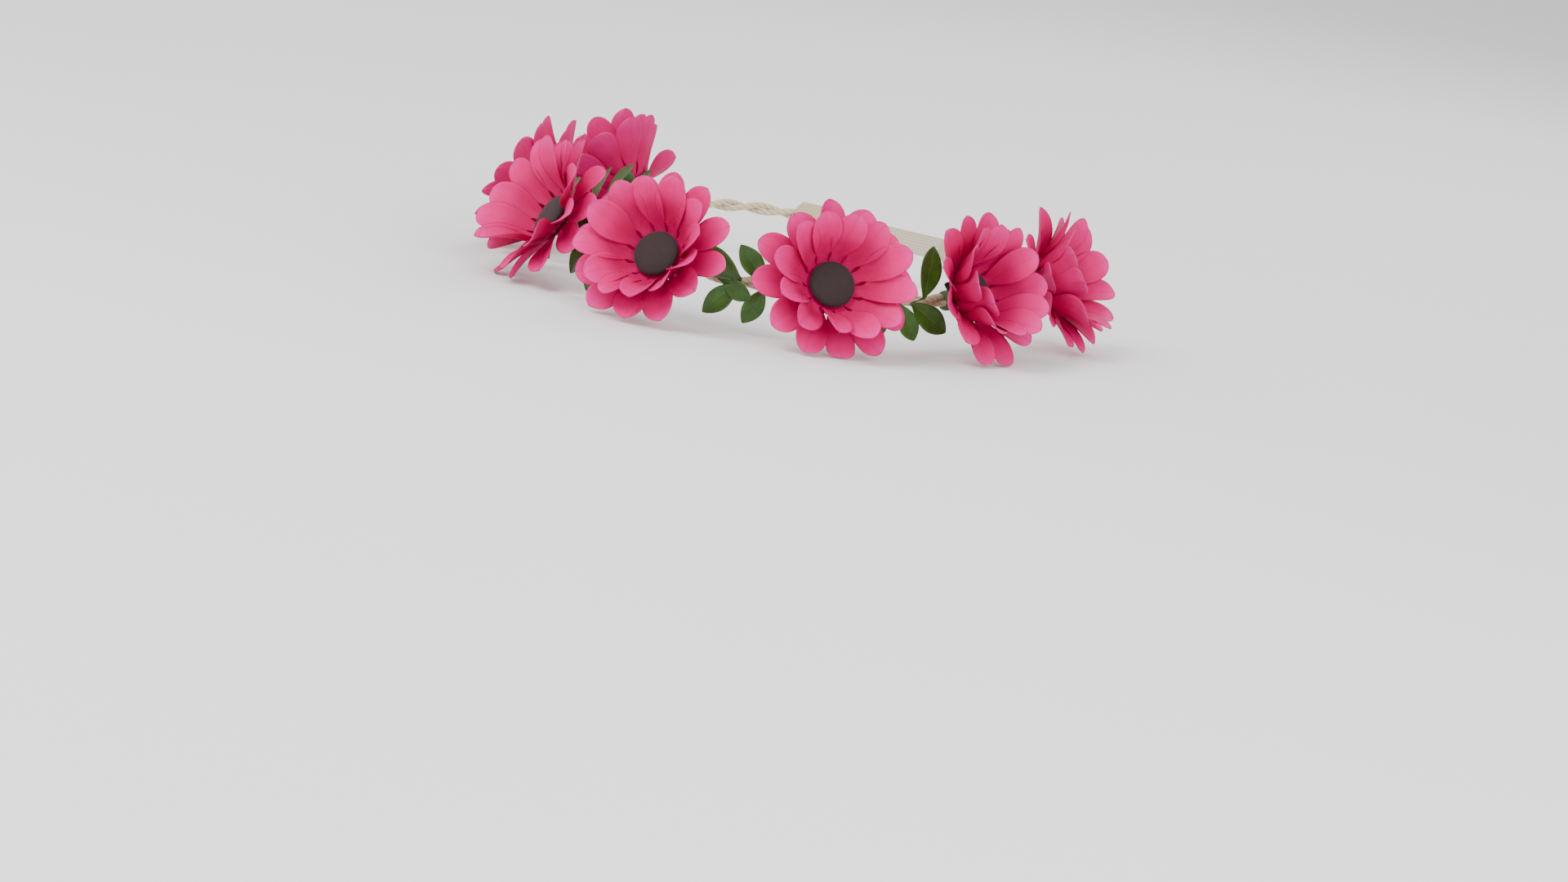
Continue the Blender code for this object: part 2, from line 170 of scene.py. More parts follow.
WRAP_CREAMS = ((0.740, 0.640, 0.450), (0.460, 0.370, 0.220))
ELASTIC_CREAMS = ((0.780, 0.720, 0.590), (0.520, 0.460, 0.340))
FLOOR_GREYS = ((0.90, 0.90, 0.90), (0.92, 0.92, 0.92))

# texture: clouds and grains are noise scales, and pairs count lines along and across a piece
PETAL_CLOUD, PETAL_STREAKS, PETAL_WEAVE, PETAL_BUMP = 150.0, (2.2, 26.0), (22.0, 11.0), 0.06 * MM
LEAF_CLOUD, LEAF_GRAIN, VEIN_SLANT, VEIN_COUNT, LEAF_BUMP = 210.0, 2600.0, 2.4, 2.1, 0.12 * MM
YARN_CLOUD, YARN_GRAIN, YARN_BUMP = 260.0, 3200.0, 0.14 * MM
CORD_LINES, WRAP_LINES, ELASTIC_LINES = (260.0, 9.0), (30.0, 60.0), (90.0, 46.0)
BUTTON_CLOUD, BUTTON_GRAIN, BUTTON_BUMP = 160.0, 1500.0, 0.08 * MM
PLASTIC_CLOUD, PLASTIC_LINES, PLASTIC_BUMP = 300.0, (3.0, 40.0), 0.08 * MM
FLOOR_CLOUD = 6.0

# stage
CAM_AZIMUTH, CAM_ELEVATION, CAM_ROLL, CAM_DISTANCE = 25.8, 8.2, 9.5, 1.6
LENS, SENSOR = 105.5, 36.0
AIM = (0.0035, 0.0418)             # where the ring's middle stands off the view's middle, as tangents
FLOOR_R, WALL_R = 4.0, 3.0         # metres of flat floor, and the curve of its rising edge
FLOOR_SIDES = 96
SKY = 0.95
LIGHT_AIM = Vector((0, 0, 0.02))
# each light's place and size in metres, and its watts
LIGHTS = {"key": ((-0.35, -1.0, 1.15), 0.9, 20.0),
          "fill": ((0.95, -0.75, 0.6), 0.8, 8.0),
          "rim": ((0.1, 1.0, 1.0), 0.9, 8.0)}


# ---- geometry helpers ------------------------------------------------------------------------

def smooth(x):
    """0 below 0, 1 above 1, and a smooth step between."""
    x = np.clip(x, 0.0, 1.0)
    return x * x * (3 - 2 * x)


def grid_mesh(name, points, closed=False, flip=False, ends=False):
    """A mesh over an array of points (rows, columns, 3), with UVs of (row, column) fractions."""
    rows, cols = points.shape[:2]
    span = cols if closed else cols - 1
    faces, uvs = [], []
    for i in range(rows - 1):
        for j in range(span):
            k = (j + 1) % cols
            quad = [(i, j), (i + 1, j), (i + 1, k), (i, k)]
            corners = ((i, j), (i + 1, j), (i + 1, j + 1), (i, j + 1))
            uv = [(a / (rows - 1), b / span) for a, b in corners]
            if flip:
                quad.reverse()
                uv.reverse()
            faces.append([a * cols + b for a, b in quad])
            uvs += uv
    if ends:
        for row, turn in ((0, not flip), (rows - 1, flip)):
            loop = [row * cols + j for j in range(cols)]
            faces.append(loop[::-1] if not turn else loop)
            uvs += [(row / (rows - 1), 0.5)] * cols
    mesh = bpy.data.meshes.new(name)
    mesh.from_pydata(points.reshape(-1, 3).tolist(), [], faces)
    layer = mesh.uv_layers.new(name="UVMap")
    layer.data.foreach_set("uv", np.array(uvs, np.float32).ravel())
    mesh.shade_smooth()
    return mesh


def rest_on_floor(mesh, matrix):
    """Bend what would sink through the floor smoothly up onto it."""
    points = np.empty(3 * len(mesh.vertices), np.float32)
    mesh.vertices.foreach_get("co", points)
    there, back = np.array(matrix), np.array(matrix.inverted())
    points = points.reshape(-1, 3) @ there[:3, :3].T + there[:3, 3]
    low = points[:, 2] < REST_Z
    points[low, 2] = REST_Z * np.exp(points[low, 2] / REST_Z - 1)
    mesh.vertices.foreach_set("co", (points @ back[:3, :3].T + back[:3, 3]).ravel())


def plain_uvs(mesh):
    """Gather a mesh's UVs at the root, so it takes the colour found there."""
    mesh.uv_layers[0].data.foreach_set("uv", np.zeros(2 * len(mesh.loops), np.float32))


def added(name, data):
    """A new object in the scene."""
    ob = bpy.data.objects.new(name, data)
    bpy.context.scene.collection.objects.link(ob)
    return ob


def piece(name, mesh, mats, body, nodes, matrix=Matrix(), thickness=0.0):
    """A finished piece on a body, standing for the CAD nodes named; a sheet's back has mats[1]."""
    ob = added(name, mesh)
    for mat in mats:
        mesh.materials.append(mat)
    rest_on_floor(mesh, matrix)
    ob.matrix_world = matrix
    if thickness:
        mod = ob.modifiers.new("sheet", "SOLIDIFY")
        mod.thickness, mod.offset, mod.material_offset = thickness, 0.0, 1
    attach(ob, body)
    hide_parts(*nodes)


def joined(name, meshes):
    """One mesh of several, keeping UVs and float attributes, welded where they meet."""
    bm = bmesh.new()
    for mesh in meshes:
        bm.from_mesh(mesh)
    bmesh.ops.remove_doubles(bm, verts=bm.verts, dist=WELD)
    mesh = bpy.data.meshes.new(name)
    bm.to_mesh(mesh)
    bm.free()
    mesh.shade_smooth()
    return mesh


def half_path():
    """The cord's right half as points from the front, and the length along it to each."""
    points = [(RING_A * math.sin(t), -RING_B * math.cos(t))
              for t in np.radians(np.linspace(0, RING_LEAVE, ELLIPSE_STEPS + 1))]
    (x0, y0), (x, y) = points[-2:]
    heading = math.atan2(y - y0, x - x0)
    turn = (math.pi - heading) / BEND_STEPS
    for _ in range(BEND_STEPS):
        heading += turn
        x += BACK_BEND * turn * math.cos(heading)
        y += BACK_BEND * turn * math.sin(heading)
        points.append((x, y))
    points.append((x - BACK_STRAIGHT, y))
    points = np.array(points)
    return points, np.concatenate([[0], np.cumsum(np.hypot(*np.diff(points, axis=0).T))])


def on_path(s):
    """The point of the cord's middle line at s from the front, to the right if positive."""
    x = np.interp(abs(s), path_length, path[:, 0])
    y = np.interp(abs(s), path_length, path[:, 1])
    return Vector((math.copysign(x, s), y + ring_shift, ring_lift))


def frame_from(along, out, at):
    """A frame with X along and Z out."""
    axes = Matrix((along, out.cross(along), out)).transposed()
    return Matrix.Translation(at) @ axes.to_4x4()


def ring_frame(s):
    """X along the cord, Y up, Z outwards."""
    step = 0.4 * MM
    along = (on_path(min(s + step, end_s)) - on_path(max(s - step, -end_s))).normalized()
    return frame_from(along, along.cross(UP), on_path(s))


# ---- materials -------------------------------------------------------------------------------

class Shader:
    """A Principled material with short names for the nodes that colour and roughen it."""

    def __init__(self, name, **fixed):
        self.mat = bpy.data.materials.new(name)
        self.mat.use_nodes = True
        self.tree = self.mat.node_tree
        self.bsdf = self.tree.nodes["Principled BSDF"]
        for key, value in fixed.items():
            self.bsdf.inputs[key.replace("_", " ")].default_value = value

    def node(self, kind, inputs=(), **props):
        node = self.tree.nodes.new(kind)
        for key, value in props.items():
            setattr(node, key, value)
        for key, value in dict(inputs).items():
            if isinstance(value, bpy.types.NodeSocket):
                self.tree.links.new(value, node.inputs[key])
            else:
                node.inputs[key].default_value = value
        return node

    def math(self, operation, a, b=0.0, clamp=False):
        return self.node("ShaderNodeMath", {0: a, 1: b}, operation=operation,
                         use_clamp=clamp).outputs[0]

    def times(self, a, b):
        return self.math("MULTIPLY", a, b)

    def uv(self):
        split = self.node("ShaderNodeSeparateXYZ",
                          {0: self.node("ShaderNodeUVMap", uv_map="UVMap").outputs[0]})
        return split.outputs[0], split.outputs[1]

    def at(self, x, y):
        return self.node("ShaderNodeCombineXYZ", {0: x, 1: y}).outputs[0]

    def streaks(self, u, v, counts, detail):
        """Noise drawn out along the piece, counted in lines along and across it."""
        return self.noise(self.at(self.times(u, counts[0]), self.times(v, counts[1])), 1.0, detail)

    def noise(self, where, scale, detail=3.0, rough=0.55):
        return self.node("ShaderNodeTexNoise", {"Vector": where, "Scale": scale, "Detail": detail,
                                                "Roughness": rough}).outputs["Fac"]

    def place(self):
        return self.node("ShaderNodeTexCoord").outputs["Object"]

    def wave(self, x, scale, distort=0.0):
        return self.node("ShaderNodeTexWave", {"Vector": self.at(x, 0.0), "Scale": scale,
                                               "Distortion": distort, "Detail": 2.0},
                         bands_direction="X").outputs["Fac"]

    def ramp(self, fac, stops):
        node = self.node("ShaderNodeValToRGB", {0: fac})
        node.color_ramp.interpolation = "EASE"
        ends = node.color_ramp.elements
        while len(ends) < len(stops):
            ends.new(0.5)
        for element, (at, colour) in zip(ends, stops):
            element.position = at
            element.color = (*colour, 1.0)
        return node.outputs[0]

    def mix(self, fac, a, b):
        node = self.node("ShaderNodeMix", data_type="RGBA", blend_type="MIX")
        for key, value in ((0, fac), (6, a), (7, b)):
            if isinstance(value, bpy.types.NodeSocket):
                self.tree.links.new(value, node.inputs[key])
            else:
                node.inputs[key].default_value = value if key == 0 else (*value, 1.0)
        return node.outputs[2]

    def ridges(self, turns):
        """0 in the groove and 1 on the ridge, once a turn."""
        wave = self.math("ABSOLUTE", self.math("COSINE", self.times(turns, math.pi)))
        return self.math("POWER", wave, 0.5)

    def scaled(self, value, low, high):
        return self.node("ShaderNodeMapRange", {0: value, 3: low, 4: high}).outputs[0]

    def set(self, **links):
        for key, value in links.items():
            self.tree.links.new(value, self.bsdf.inputs[key.replace("_", " ")])

    def bump(self, height, distance, strength):
        """The finished material, with this height as its bump."""
        node = self.node("ShaderNodeBump", {"Height": height, "Distance": distance,
                                            "Strength": strength})
        self.tree.links.new(node.outputs[0], self.bsdf.inputs["Normal"])
        return self.mat


def petal_material(name, colours, roughness):
    """Satin, deep at the hub and pale at the tip, with painted shade along the middle crease, a fine
    plain weave and long veins.
    """
    base, mid, tip = colours
    s = Shader(name, Sheen_Weight=0.03, Sheen_Roughness=0.4, Sheen_Tint=PETAL_SHEEN,
               Specular_IOR_Level=0.09)
    u, v = s.uv()
    shade = s.node("ShaderNodeAttribute", attribute_name="shade").outputs["Fac"]
    cloud = s.noise(s.place(), PETAL_CLOUD)
    along = s.math("ADD", u, s.scaled(cloud, -0.07, 0.07))
    along = s.math("ADD", along, s.scaled(shade, -0.06, 0.06))
    colour = s.ramp(along, ((0.0, base), (0.30, base), (0.62, mid), (0.97, tip)))
    streak = s.streaks(u, v, PETAL_STREAKS, 2.0)
    colour = s.mix(s.scaled(streak, 0.0, 0.22), colour, tuple(0.72 * c for c in base))
    # painted shade: each petal's middle crease is drawn back towards the deep hub colour
    middle = s.math("ABSOLUTE", s.math("SUBTRACT", v, 0.5))
    crease_shade = s.scaled(s.math("MULTIPLY", middle, 14.0, clamp=True), 0.16, 0.0)
    colour = s.mix(crease_shade, colour, base)
    edge = s.scaled(s.math("MAXIMUM", s.times(middle, 2.0), u), 0.0, 1.0)
    edge = s.math("MULTIPLY", s.math("SUBTRACT", edge, 0.955, clamp=True), 12.0, clamp=True)
    colour = s.mix(s.times(edge, 0.6), colour, PETAL_RIM)
    weave = s.times(s.wave(u, PETAL_WEAVE[0]), s.wave(v, PETAL_WEAVE[1]))
    s.set(Base_Color=colour, Roughness=s.scaled(cloud, roughness - 0.06, roughness + 0.08))
    return s.bump(s.math("ADD", s.times(weave, 0.35), s.times(streak, 1.0)), PETAL_BUMP, 0.6)


def leaf_material(name, colours, roughness):
    """Waxed green cloth, blotched, with a pale midrib and slanting veins."""
    dark, light, rib = colours
    s = Shader(name, Sheen_Weight=0.05, Specular_IOR_Level=0.42)
    u, v = s.uv()
    side = s.math("ABSOLUTE", s.math("SUBTRACT", v, 0.5))
    cloud = s.noise(s.place(), LEAF_CLOUD)
    colour = s.ramp(cloud, ((0.25, dark), (0.75, light)))
    veins = s.wave(s.math("SUBTRACT", s.times(u, VEIN_SLANT), side), VEIN_COUNT, 0.6)
    colour = s.mix(s.scaled(s.math("POWER", veins, 6.0), 0.0, 0.14), colour, rib)
    midrib = s.math("SUBTRACT", 1.0, s.math("MULTIPLY", side, 22.0, clamp=True))
    colour = s.mix(s.times(midrib, 0.55), colour, rib)
    s.set(Base_Color=colour, Roughness=s.scaled(cloud, roughness - 0.08, roughness + 0.1))
    height = s.math("ADD", s.times(veins, 0.25), s.times(midrib, -1.2))
    height = s.math("ADD", height, s.times(s.noise(s.place(), LEAF_GRAIN), 0.25))
    return s.bump(height, LEAF_BUMP, 0.7)


def yarn_material(name, colours, lines, roughness, groove, ribs=0.0):
    """Soft fibre: fine lines along the piece, a fuzzy grain, and painted shade in the grooves.

    The grooves lie between plies or turns: groove counts them per piece, per way round, and their
    offset. Ribs are counted from the middle of a band to its edge.
    """
    light, dark = colours
    s = Shader(name, Sheen_Weight=0.25, Sheen_Roughness=0.6, Specular_IOR_Level=0.2)
    u, v = s.uv()
    fibre = s.streaks(u, v, lines, 4.0)
    cloud = s.noise(s.place(), YARN_CLOUD)
    colour = s.mix(s.scaled(fibre, -0.1, 0.75), light, dark)
    colour = s.mix(s.scaled(cloud, 0.0, 0.28), colour, dark)
    turns = s.math("ADD", s.times(u, groove[0]), s.times(v, groove[1]))
    ridge = s.ridges(s.math("ADD", turns, groove[2]))
    if ribs:
        across = s.math("COSINE", s.times(v, 2 * math.pi))
        ridge = s.times(ridge, s.ridges(s.times(across, ribs)))
    # painted shade: the grooves between plies, turns and ribs are darkened below the yarn's dark
    # colour
    colour = s.mix(s.scaled(ridge, 0.75, 0.0), colour, tuple(0.55 * c for c in dark))
    s.set(Base_Color=colour, Roughness=s.scaled(fibre, roughness - 0.05, roughness + 0.08))
    height = s.math("ADD", fibre, s.times(s.noise(s.place(), YARN_GRAIN), 0.4))
    height = s.math("ADD", height, s.times(ridge, 0.6))
    return s.bump(height, YARN_BUMP, 0.8)


def button_material():
    """Dull brown cloth with a coarse grain and darker patches."""
    dark, light, patch = BUTTON_BROWNS
    s = Shader("button", Sheen_Weight=0.12, Sheen_Roughness=0.5, Specular_IOR_Level=0.22)
    grain = s.noise(s.place(), BUTTON_GRAIN, 5.0, 0.7)
    cloud = s.noise(s.place(), BUTTON_CLOUD)
    colour = s.mix(grain, dark, light)
    colour = s.mix(s.scaled(cloud, 0.0, 0.35), colour, patch)
    s.set(Base_Color=colour, Roughness=s.scaled(grain, 0.66, 0.88))
    return s.bump(grain, BUTTON_BUMP, 0.7)


def plastic_material(name, colours, roughness):
    """Moulded green with faint lines across."""
    s = Shader(name, Specular_IOR_Level=0.4)
    u, v = s.uv()
    cloud = s.noise(s.place(), PLASTIC_CLOUD)
    lines = s.streaks(u, v, PLASTIC_LINES, 2.0)
    s.set(Base_Color=s.mix(cloud, *colours),
          Roughness=s.scaled(lines, roughness - 0.1, roughness + 0.12))
    return s.bump(lines, PLASTIC_BUMP, 0.5)


def floor_material():
    """Matt white with the faintest clouds."""
    s = Shader("floor", Specular_IOR_Level=0.1)
    cloud = s.noise(s.place(), FLOOR_CLOUD)
    s.set(Base_Color=s.mix(cloud, *FLOOR_GREYS), Roughness=s.scaled(cloud, 0.85, 0.9))
    return s.mat


# ---- flowers ---------------------------------------------------------------------------------

def petal_width(kind, s, rng):
    """Half widths from the root on the hub, through the waist, to the rounded tip."""
    root = kind["hub"] * math.sin(math.pi / PETALS)
    widest = kind["width"] * (1 + ODD_WIDTH * rng.normal())
    width = root + (widest - root) * smooth(s / WIDEST_AT)
    width *= 1 - PETAL_WAIST * np.exp(-((s - WAIST_AT) / WAIST_SPAN) ** 2)
    over = np.clip((s - TIP_FROM) / (1 - TIP_FROM), 0, 1)
    return width * (np.clip(1 - over ** TIP_ROUND, 0.0, 1) ** TIP_FULL + TIP_END * (over >= 1))


def petal_lift(kind, s, v, width, rng):
    """How far the points stand off a flat petal: its cup, middle crease, ripple and curled tip."""
    cup = kind["cup"] * rng.uniform(*ODD_CUP)
    lift = cup * (CUP_AT_ROOT - CUP_FADE * s)[:, None] * np.abs(v) ** 2.0 * width[:, None]
    lift -= CREASE * np.exp(-(v / CREASE_SPAN) ** 2) * (1 - CREASE_FADE * s)[:, None]
    phase = rng.uniform(0, 2 * math.pi)
    lift += RIPPLE * (s ** 2)[:, None] * np.sin(RIPPLES * math.pi * v + phase)
    lift += TIP_CURL * (s ** 3)[:, None] * np.abs(v) * math.sin(2 * phase)
    return lift


def petal_points(kind, splay, rng):
    """One petal as an array of points, lying along +X from its root arc on the hub."""
    s = 1 - (1 - np.linspace(0, 1, PETAL_ROWS)) ** ROW_CROWDING
    v = np.linspace(-1, 1, PETAL_COLS + 1)
    free = smooth(s / FREE_AT)
    lean, roll, bend, curl, length = rng.normal(size=5).clip(-ODD_LIMIT, ODD_LIMIT)
    start, mid, end = kind["angles"]
    angle = start + (mid - start) * smooth(s / MIDDLE_ANGLE_AT)
    angle = angle + (end - mid) * smooth((s - END_ANGLE_FROM) / (1 - END_ANGLE_FROM))
    angle = np.radians(angle + (ODD_LEAN * lean + ODD_CURL * curl * s - splay) * free)
    step = np.diff(s, prepend=0.0) * (kind["length"] * (1 + ODD_LENGTH * length))
    r = kind["hub"] + np.cumsum(np.cos(angle) * step)
    z = np.cumsum(np.sin(angle) * step)

    width = petal_width(kind, s, rng)
    lift = petal_lift(kind, s, v, width, rng) * free[:, None]
    half = math.pi / PETALS
    side = np.sin(v * half) / math.sin(half)
    x = width[:, None] * ((1 - free)[:, None] * side + free[:, None] * v)
    twist = np.radians(ODD_TWIST * roll) * smooth(s / TWIST_AT)
    x, lift = (x * np.cos(twist)[:, None] - lift * np.sin(twist)[:, None],
               x * np.sin(twist)[:, None] + lift * np.cos(twist)[:, None])
    x = x + (ODD_BEND * bend * s ** 2)[:, None]
    arc = kind["hub"] * (1 - np.cos(v * half))[None, :] * (1 - free)[:, None]
    px = r[:, None] - np.sin(angle)[:, None] * lift - arc
    pz = z[:, None] + np.cos(angle)[:, None] * lift
    return np.stack([px, x, pz], axis=-1)


def petal_layer(name, kind, turn, splay, rng):
    """A stamped sheet of petals round a holed hub."""
    meshes = []
    for k in range(PETALS):
        a = turn + 2 * math.pi * (k + kind["phase"]) / PETALS
        rot = np.array(Matrix.Rotation(a, 3, "Z"))
        right, left = (max(q * math.cos(a), 0) * bend for q, bend in zip((1, -1), splay))
        points = petal_points(kind, right + left, rng) @ rot.T
        petal = grid_mesh(name, points)
        rim = points[0]
        steps = np.linspace(HOLE_R / kind["hub"], 1, HUB_ROWS)[:, None, None]
        hub = grid_mesh(name, rim[None] * steps)
        plain_uvs(hub)
        tone = rng.uniform(0, 1)
        for mesh in (petal, hub):
            shade = mesh.attributes.new("shade", "FLOAT", "POINT")
            shade.data.foreach_set("value", np.full(len(mesh.vertices), tone, np.float32))
            meshes.append(mesh)
    return joined(name, meshes)


def turned_points(outline, count):
    """Points of an outline of (radius, height) turned about Z."""
    a = np.linspace(0, 2 * math.pi, count, endpoint=False)
    r, z = np.array(outline).T
    return np.stack([r[:, None] * np.cos(a), r[:, None] * np.sin(a),
                     z[:, None] + 0 * a], axis=-1)


def button_mesh(name, turn):
    """A domed fabric button with a rolled rim and fine straight ribs across it."""
    t = np.linspace(0, 1, BUTTON_RINGS)
    quarter = np.clip(t / BUTTON_RIM, 0, 1) * math.pi / 2
    r = BUTTON_R * np.sin(quarter) ** 0.9
    z = BUTTON_SHOULDER + (1 - BUTTON_SHOULDER) * np.cos(quarter) ** 0.55
    under = np.clip((t - BUTTON_RIM) / (1 - BUTTON_RIM), 0, 1)
    r = r * (1 - BUTTON_TUCK * under)
    z = BUTTON_H * np.where(t > BUTTON_RIM, BUTTON_SHOULDER * (1 - under), z)
    dome = BUTTON_DOME * (1 - (r / BUTTON_R) ** 2)
    points = turned_points(np.stack([r + BUTTON_MARGIN, z + dome], axis=-1), BUTTON_SIDES)
    across = points[..., 0] * math.cos(turn) + points[..., 1] * math.sin(turn)
    flat = smooth((RIBBED_TO - t) / RIBBED_FADE)[:, None]
    points[..., 2] += RIB_DEPTH * flat * np.cos(2 * math.pi * across / RIB_PITCH)
    return grid_mesh(name, points, closed=True, ends=True)


def calyx_mesh(name, turn):
    """A cup with pointed, ridged sepals behind the petals."""
    outline = [(CUP_IN, CUP_Z1), (CUP_R - 0.3 * MM, CUP_Z1), (CUP_R, CUP_Z1 - 0.4 * MM),
               (CUP_R + 0.1 * MM, 5.4 * MM), (CUP_R - 0.25 * MM, 4.6 * MM),
               (CUP_R - 0.9 * MM, CUP_Z0 + 0.1 * MM), (CUP_IN, CUP_Z0)]
    meshes = [grid_mesh(name, turned_points(outline, CUP_SIDES), closed=True)]
    s = np.linspace(0, 1, SEPAL_ROWS)[:, None]
    v = np.linspace(-1, 1, SEPAL_COLS)[None]
    belly = SEPAL_NECK + (1 - SEPAL_NECK) * smooth(s / 0.4)
    width = SEPAL_W * belly * (1 - s ** 2.2) ** 0.7 + SEPAL_EDGE
    ridge = SEPAL_RIDGE * (1 - np.abs(v)) ** 2
    for k in range(SEPALS):
        rot = np.array(Matrix.Rotation(turn + 2 * math.pi * k / SEPALS, 3, "Z"))
        height = SEPAL_Z + SEPAL_RISE * s ** 2 + SEPAL_CUP * v ** 2 * s - ridge
        points = np.stack([SEPAL_ROOT + s * SEPAL_LEN + 0 * v, width * v, height], axis=-1)
        top = points.copy()
        top[..., 2] += SEPAL_T
        sheet = np.concatenate([points, top[:, ::-1]], axis=1)
        meshes.append(grid_mesh(name, sheet @ rot.T, closed=True, flip=True))
    return joined(name, meshes)


def stem_mesh(name):
    """Floral tape wound round the cord, drawn up into the neck that carries the flower."""
    x = np.linspace(-0.5, 0.5, COLLAR_ROWS)
    a = np.linspace(0, 2 * math.pi, COLLAR_SIDES, endpoint=False)
    wound = (x[:, None] * COLLAR_LEN / TAPE_PITCH + a[None] / (2 * math.pi)) % 1.0
    taper = COLLAR_TAPER * smooth((np.abs(x) - TAPER_FROM) / (0.5 - TAPER_FROM))
    r = COLLAR_R - taper[:, None] + TAPE_T * wound
    collar = np.stack([x[:, None] * COLLAR_LEN + 0 * a, -r * np.sin(a), r * np.cos(a)], axis=-1)
    neck = [(NECK_R + NECK_FLARE * (1 - t) ** 3, NECK_FOOT + NECK_RISE * t)
            for t in np.linspace(0, 1, NECK_ROWS)]
    meshes = [grid_mesh(name, collar, closed=True, ends=True, flip=True),
              grid_mesh(name, turned_points(neck, NECK_SIDES), closed=True, ends=True, flip=True)]
    return joined(name, meshes)


def build_flower(joint, number):
    """All pieces of one flower head, on the body that turns about its stem."""
    body = joint["child"]
    tag = body.removeprefix("flower_")
    rng = np.random.default_rng(FLOWER_SEED + number)
    axis = Vector(joint["axis"]).normalized()
    along = Vector((-axis.y, axis.x, 0)).normalized()
    foot = Vector(joint["pos_m"]) - axis * OUTER["z"]
    frame = frame_from(along, axis, foot)
    turn = math.radians(FLOWER_TURN * number)
    for layer, kind in (("outer", OUTER), ("inner", INNER)):
        share = 1.0 if layer == "inner" else OUTER_SPLAY
        splay = [share * bend for bend in SPLAY.get(tag, (0.0, 0.0))]
        mesh = petal_layer(f"petals_{layer}", kind, turn, splay, rng)
        piece(f"satin_petals_{layer}_{tag}", mesh, [petal_front, petal_back], body,
              [f"petals_{layer}_{tag}"], frame @ Matrix.Translation((0, 0, kind["z"])), FABRIC)
    mesh = button_mesh("button", turn + BUTTON_TURN)
    piece(f"button_{tag}", mesh, [button_cloth], body,
          [f"centre_button_{tag}"], frame @ Matrix.Translation((0, 0, BUTTON_Z)))
    piece(f"sepals_{tag}", calyx_mesh("calyx", turn), [calyx_green], body,
          [f"calyx_{tag}"], frame)
    piece(f"stem_tape_{tag}", stem_mesh("stem"), [tape_green], "crown_band",
          [f"stem_{tag}"], frame)


# ---- cord, leaves and closure ----------------------------------------------------------------

def strand_points(phase, rng):
    """Rings of points round one strand, which winds round the other and keeps its plies' grooves."""
    s = np.linspace(-end_s, end_s, int(2 * end_s / STRAND_STEP))
    wander = sum(rng.normal() * np.sin(s / w + rng.uniform(0, 6.3)) for w in WANDER_WAVES)
    settled = smooth((end_s - np.abs(s)) / STRAND_SETTLE)
    swell = 1 + SWELL * np.sin(s / SWELL_WAVE + phase) * settled
    off = STRAND_OFF * (1 + WANDER * wander * settled)
    turn = 2 * math.pi * s / TWIST_PITCH + phase + LAY_DRIFT * np.sin(s / LAY_WAVE) * settled
    centre = np.array([ring_frame(q) @ Vector((0, o * math.sin(a), o * math.cos(a)))
                       for q, o, a in zip(s, off, turn)])
    ahead = np.gradient(centre, axis=0)
    ahead /= np.linalg.norm(ahead, axis=1)[:, None]
    side = np.cross(ahead, np.array(UP))
    side /= np.linalg.norm(side, axis=1)[:, None]
    top = np.cross(side, ahead)
    a = np.linspace(0, 2 * math.pi, STRAND_SIDES, endpoint=False)
    lay = PLIES * a[None] + 2 * math.pi * s[:, None] / PLY_PITCH * PLIES
    r = STRAND_R * swell[:, None] - PLY_DEPTH * (1 - np.abs(np.cos(lay / 2)))
    return (centre[:, None] + r[..., None] * (side[:, None] * np.cos(a)[None, :, None]
                                              + top[:, None] * np.sin(a)[None, :, None]))


def build_cord():
    """Two strands, half a turn apart."""
    rng = np.random.default_rng(CORD_SEED)
    for letter, phase in (("a", 0.0), ("b", math.pi)):
        mesh = grid_mesh("strand", strand_points(phase, rng), closed=True, ends=True, flip=True)
        piece(f"twisted_strand_{letter}", mesh, [cord_yarn], "crown_band",
              [f"cord_strand_{letter}"])


def leaf_points(sign, lean, size, apart, rng):
    """A leaf from its root at the waist to its tip, folded along the middle and slightly curled."""
    back = math.radians(LEAF_RECLINE) if sign > 0 else 0.0
    lean = math.radians(lean)
    lie = np.array([0, sign * math.cos(back), -math.sin(back)])
    out = np.array([math.sin(lean), 0, 0]) + lie * math.cos(lean)
    across = np.array([math.cos(lean), 0, 0]) - lie * math.sin(lean)
    normal = np.cross(across, out) * sign
    u = 1 - (1 - np.linspace(0, 1, LEAF_ROWS)) ** LEAF_CROWDING
    v = np.linspace(-1, 1, LEAF_COLS)
    belly = np.clip(np.sin(math.pi * u ** LEAF_BELLY), 0, 1) ** LEAF_FULL
    width = np.maximum(0.5 * size ** SIZE_TO_WIDTH * LEAF_W * belly,
                       0.5 * WAIST_W * (1 - u) + LEAF_EDGE)
    bow, sway, ripple = rng.normal(size=3).clip(-LEAF_ODD_LIMIT, LEAF_ODD_LIMIT)
    x = width[:, None] * v
    x = x + (LEAF_SWAY * sway * u ** 2)[:, None]
    rise = LEAF_CURL * (0.4 + 0.5 * bow) * u ** 2 + LEAF_ARCH * np.sin(math.pi * u)
    lift = LEAF_FOLD * np.abs(v) ** 1.5 * width[:, None] + rise[:, None]
    lift = lift + LEAF_RIPPLE * (np.sin(7 * u + 3 * ripple)[:, None] * v * smooth(u)[:, None])
    run = LEAF_ROOT + u * size * LEAF_LEN
    root = np.array([sign * apart * MM / 2, 0, LEAF_OFF])
    return (root + run[:, None, None] * out + x[..., None] * across + lift[..., None] * normal)


def sprig_mesh(lean_up, lean_low, size_up, size_low, apart, rng):
    """A leaf above and a leaf below, with the waist of the strip between them."""
    upper = leaf_points(1, lean_up, size_up, apart, rng)
    lower = leaf_points(-1, lean_low, size_low, apart, rng)
    t = smooth(np.linspace(0, 1, WAIST_ROWS))[:, None, None]
    waist = grid_mesh("leaf", upper[0] * (1 - t) + lower[0] * t)
    plain_uvs(waist)
    return joined("leaf", [grid_mesh("leaf", upper, flip=True), grid_mesh("leaf", lower), waist])


